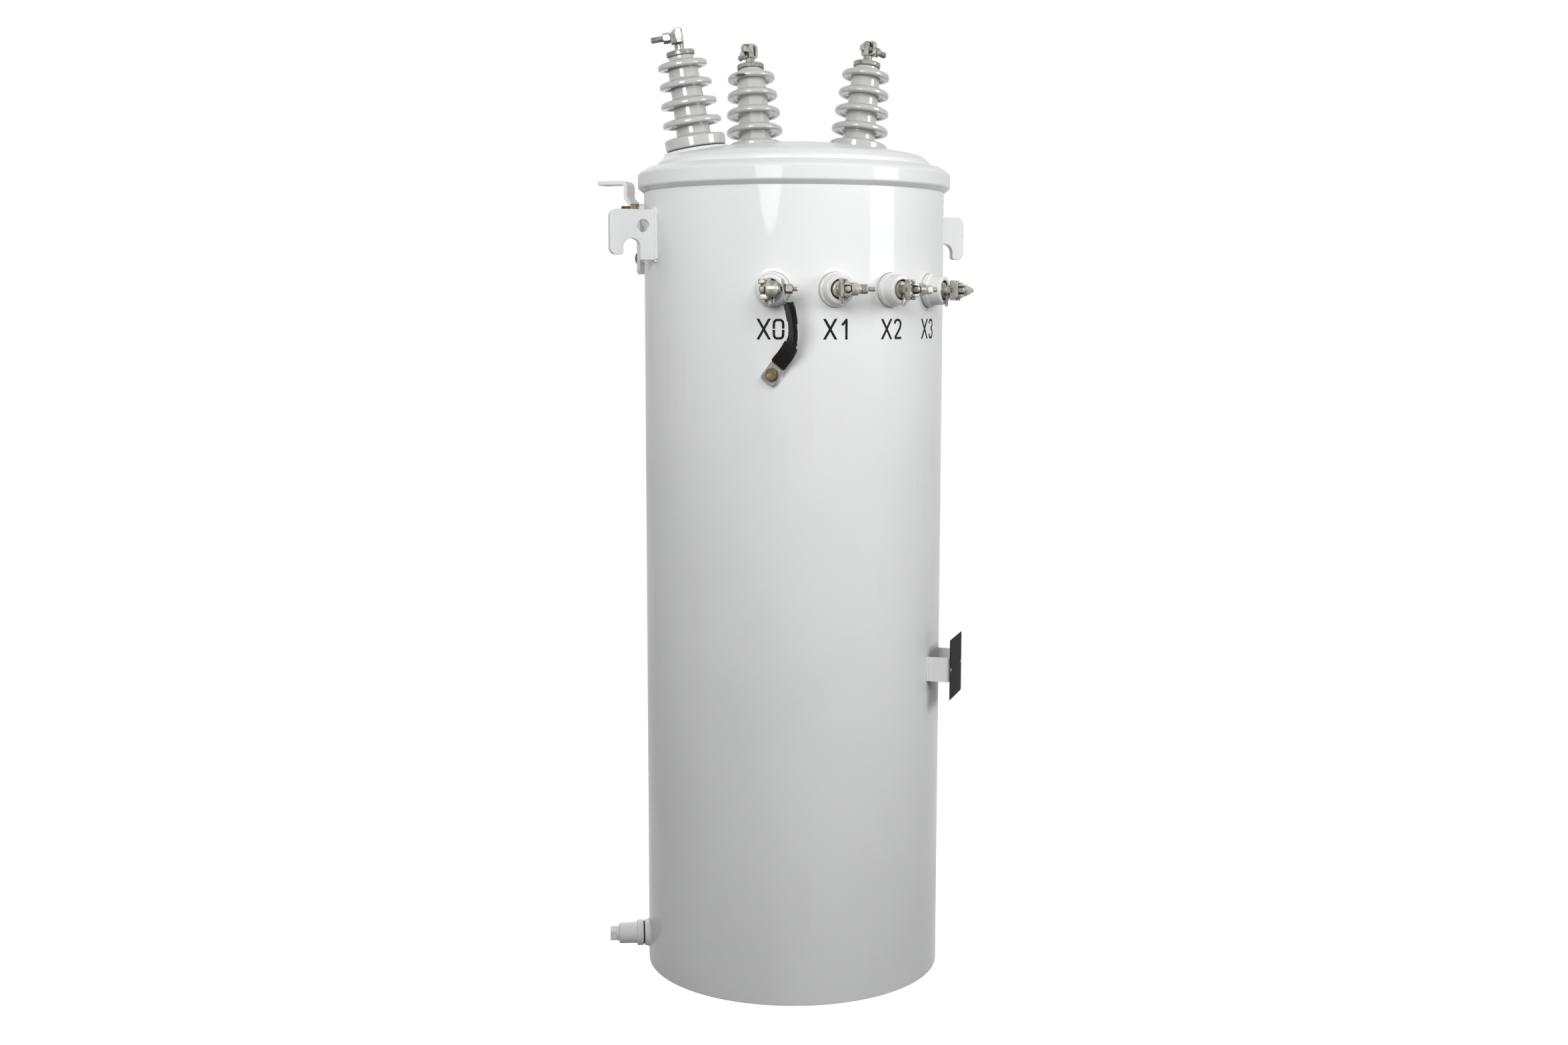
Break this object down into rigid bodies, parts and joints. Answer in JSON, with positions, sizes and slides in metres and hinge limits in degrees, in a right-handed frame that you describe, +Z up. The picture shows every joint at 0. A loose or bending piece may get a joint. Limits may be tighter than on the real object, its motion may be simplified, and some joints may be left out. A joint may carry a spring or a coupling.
{
  "type": "pole mounted transformer",
  "caption": "Round steel tank with shedded porcelain bushings on a domed cover, clamp terminals on the wall, lifting lugs, pole hangers and a drain valve.",
  "frame": {"origin": "centre of the tank's bottom plate, at the level it stands on", "axes": "+Z up, -Y towards the low voltage side, +Y towards the pole, +X to the right lifting lug"},
  "size_m": [0.804, 0.7696, 1.933],
  "materials": {
    "tank_paint": "gloss light grey enamel",
    "cover_paint": "gloss light grey enamel",
    "porcelain": "gloss light grey glaze",
    "gasket_rubber": "matt black nitrile",
    "tinned_bronze": "satin tinned bronze",
    "tinned_cap": "satin tin plate",
    "bolt_steel": "bright steel",
    "black_bolt": "black oxide",
    "yellow_zinc": "yellow zinc plate",
    "plate_black": "black anodised plate",
    "link_sleeve": "semi-gloss shrink sleeve",
    "tinned_copper": "bright tinned copper"
  },
  "bodies": {
    "root": {"tank_shell": "tank_paint", "tank_bottom": "tank_paint", "cover_gasket": "gasket_rubber", "cover": "cover_paint", "cover_band": "cover_paint", "band_bolt": "bolt_steel", "hv_bushings": "porcelain", "hv_gaskets": "gasket_rubber", "hv_caps": "tinned_cap", "hv_terminals": "tinned_bronze", "hv_clamps": "tinned_bronze", "lv_bushings": "porcelain", "lv_terminals": "tinned_bronze", "lv_clamps": "tinned_bronze", "lifting_lug_left": "tank_paint", "lifting_lug_right": "tank_paint", "arrester_bracket": "tank_paint", "arrester_bolts": "black_bolt", "ground_stud": "yellow_zinc", "drain_seal": "gasket_rubber", "drain_valve": "tank_paint", "drain_plug": "tank_paint", "nameplate_bracket": "tank_paint", "nameplate": "plate_black", "link_lugs": "tinned_copper", "ground_bolt": "bolt_steel", "ground_link": "link_sleeve", "hanger_upper": "tank_paint", "hanger_lower": "tank_paint"}
  },
  "joints": []
}
